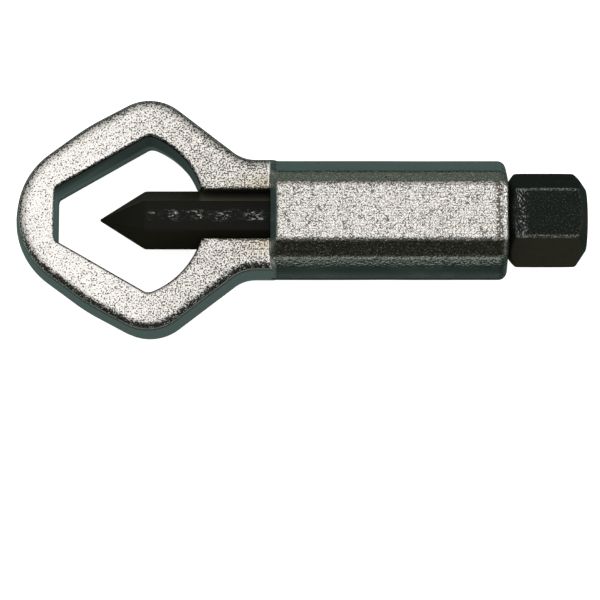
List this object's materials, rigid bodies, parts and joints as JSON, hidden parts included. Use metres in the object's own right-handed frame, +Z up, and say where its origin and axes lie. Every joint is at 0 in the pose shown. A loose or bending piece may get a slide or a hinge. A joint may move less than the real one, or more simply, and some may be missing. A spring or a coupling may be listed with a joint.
{
  "type": "nut splitter",
  "caption": "Hand tool that splits a seized nut: a forged ring with a nut window, a slotted neck and a threaded barrel, whose pressure screw drives a pointed hexagonal chisel into the nut.",
  "frame": {"origin": "middle of the tool's length and width, on the barrel's underside", "axes": "+X along the tool's axis towards the screw head, +Z up through the ring's window, +Y across the ring"},
  "size_m": [0.11, 0.0464, 0.02],
  "materials": {
    "plated_forging": "shot-blasted and bright plated",
    "pin_steel": "ground",
    "black_chisel": "black oxide, oiled",
    "ball_steel": "polished",
    "black_screw": "black oxide, oiled"
  },
  "bodies": {
    "frame": {"frame": "plated_forging", "guide_pin": "pin_steel"},
    "chisel": {"chisel": "black_chisel", "thrust_ball": "ball_steel"},
    "screw": {"pressure_screw": "black_screw"}
  },
  "joints": [
    {"name": "chisel_feed", "type": "slide", "parent": "frame", "child": "chisel", "axis": [1, 0, 0], "range_m": [0, 0.02]},
    {"name": "screw_turn", "type": "hinge", "parent": "chisel", "child": "screw", "pos_m": [0.03, 0, 0.01], "axis": [1, 0, 0], "range_deg": [0, 3600]}
  ],
  "couplings": [
    {"joint": "screw_turn", "follows": "chisel_feed", "rad_per_m": 3141.6}
  ]
}
